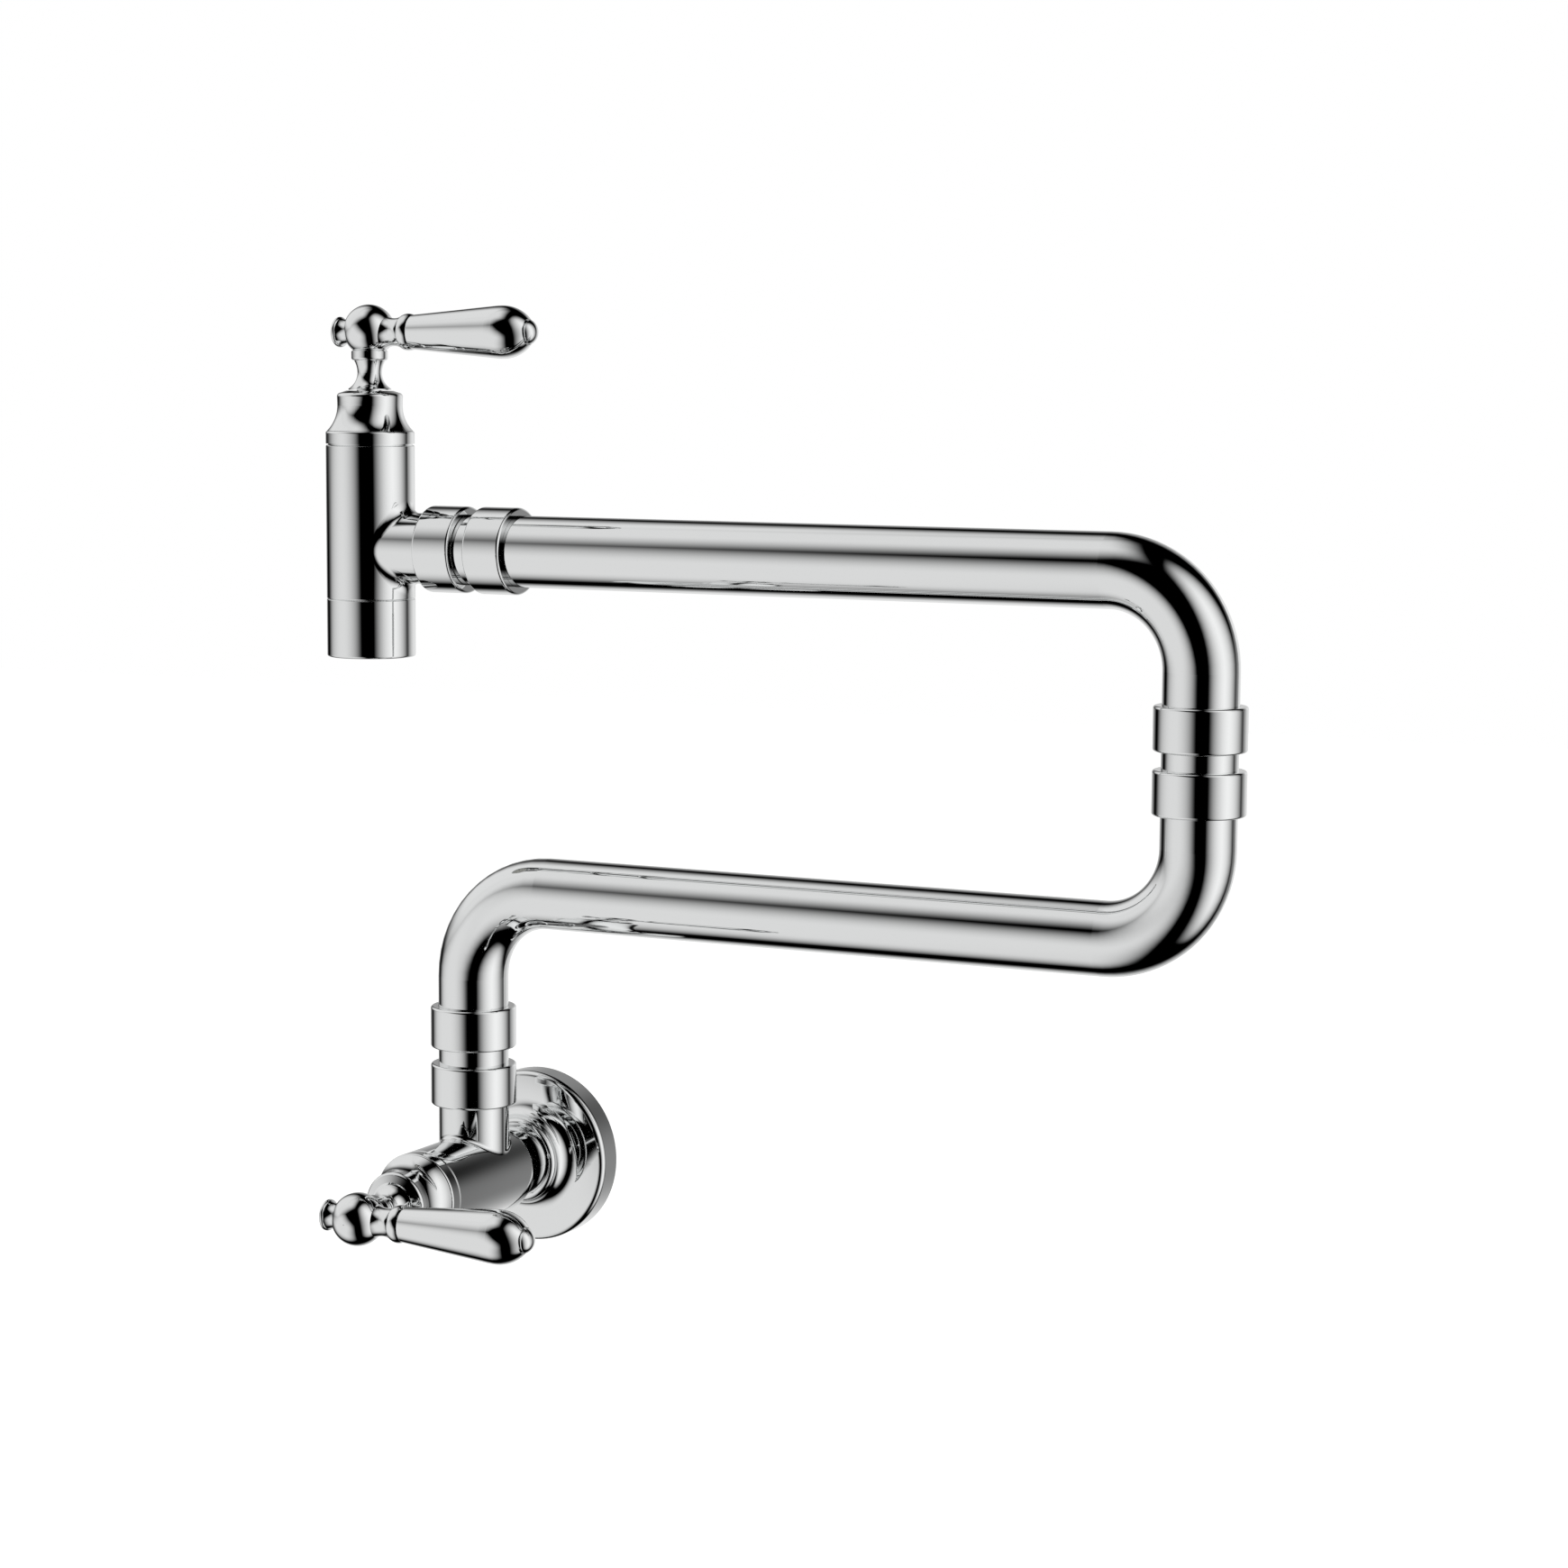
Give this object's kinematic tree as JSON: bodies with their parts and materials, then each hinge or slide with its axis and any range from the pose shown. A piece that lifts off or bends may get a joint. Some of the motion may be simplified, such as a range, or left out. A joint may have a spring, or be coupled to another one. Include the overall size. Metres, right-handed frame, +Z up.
{
  "type": "wall mounted pot filler",
  "caption": "Chrome wall mounted pot filler: a lever valve on a round flange, two jointed swing arms folded over each other, and a downward spout with its own lever valve.",
  "frame": {"origin": "centre of the wall flange's back face, on the axis of the supply thread, in the plane of the wall", "axes": "+Y into the wall along the supply thread, +X along the folded arms from the wall swivel to the elbow, +Z up"},
  "size_m": [0.3512, 0.1344, 0.3477],
  "materials": {
    "chrome": "polished chrome plate",
    "brass": "machined brass",
    "steel": "plain stainless steel",
    "rubber": "moulded rubber",
    "ceramic": "lapped ceramic",
    "plastic": "moulded acetal plastic"
  },
  "bodies": {
    "wall_valve": {"wall_foot": "chrome", "wall_flange": "chrome", "flange_o_ring": "rubber", "flange_gasket": "rubber", "flange_screw": "steel", "wall_valve_body": "chrome", "wall_valve_seat_seal": "rubber", "wall_valve_fixed_disc": "ceramic", "wall_valve_cartridge_body": "brass", "wall_valve_cartridge_o_ring": "rubber", "wall_valve_bonnet_ring": "chrome", "wall_valve_bell": "chrome", "wall_swivel_fixed_collar": "chrome", "wall_swivel_stem": "chrome", "wall_swivel_o_rings": "rubber", "wall_swivel_thrust_washer": "plastic", "wall_swivel_retaining_ring": "steel"},
    "wall_handle": {"wall_valve_moving_disc": "ceramic", "wall_valve_spindle": "brass", "wall_valve_spindle_o_ring": "rubber", "wall_valve_lever_hub": "chrome", "wall_valve_hub_screw": "steel", "wall_valve_finial": "chrome", "wall_valve_lever_stem": "chrome", "wall_valve_lever_grip": "chrome", "wall_valve_grip_button": "chrome"},
    "lower_arm": {"wall_swivel_moving_collar": "chrome", "lower_arm_tube": "chrome", "elbow_fixed_collar": "chrome", "elbow_stem": "chrome", "elbow_o_rings": "rubber", "elbow_thrust_washer": "plastic", "elbow_retaining_ring": "steel"},
    "upper_arm": {"elbow_moving_collar": "chrome", "upper_arm_tube": "chrome", "spout_swivel_fixed_collar": "chrome", "spout_swivel_stem": "chrome", "spout_swivel_o_rings": "rubber", "spout_swivel_thrust_washer": "plastic", "spout_swivel_retaining_ring": "steel"},
    "spout_head": {"spout_swivel_moving_collar": "chrome", "spout_body": "chrome", "spout_valve_seat_seal": "rubber", "spout_valve_fixed_disc": "ceramic", "spout_valve_cartridge_body": "brass", "spout_valve_cartridge_o_ring": "rubber", "spout_valve_bonnet_ring": "chrome", "spout_valve_bell": "chrome", "outlet_sleeve": "chrome", "aerator_insert": "plastic", "aerator_washer": "rubber"},
    "spout_handle": {"spout_valve_moving_disc": "ceramic", "spout_valve_spindle": "brass", "spout_valve_spindle_o_ring": "rubber", "spout_valve_lever_hub": "chrome", "spout_valve_hub_screw": "steel", "spout_valve_finial": "chrome", "spout_valve_lever_stem": "chrome", "spout_valve_lever_grip": "chrome", "spout_valve_grip_button": "chrome"}
  },
  "joints": [
    {"name": "wall_swivel", "type": "hinge", "parent": "wall_valve", "child": "lower_arm", "pos_m": [0, -0.04875, 0.0453], "axis": [0, 0, -1], "range_deg": [0, 180]},
    {"name": "elbow_swivel", "type": "hinge", "parent": "lower_arm", "child": "upper_arm", "pos_m": [0.2768, -0.04875, 0.1673], "axis": [0, 0, 1], "continuous": true},
    {"name": "spout_swivel", "type": "hinge", "parent": "upper_arm", "child": "spout_head", "pos_m": [0.0019, -0.04875, 0.2283], "axis": [1, 0, 0], "range_deg": [-90, 90]},
    {"name": "wall_lever", "type": "hinge", "parent": "wall_valve", "child": "wall_handle", "pos_m": [0, -0.12, 0], "axis": [0, -1, 0], "range_deg": [0, 90]},
    {"name": "spout_lever", "type": "hinge", "parent": "spout_head", "child": "spout_handle", "pos_m": [-0.0429, -0.04875, 0.3], "axis": [0, 0, -1], "range_deg": [0, 90]}
  ]
}
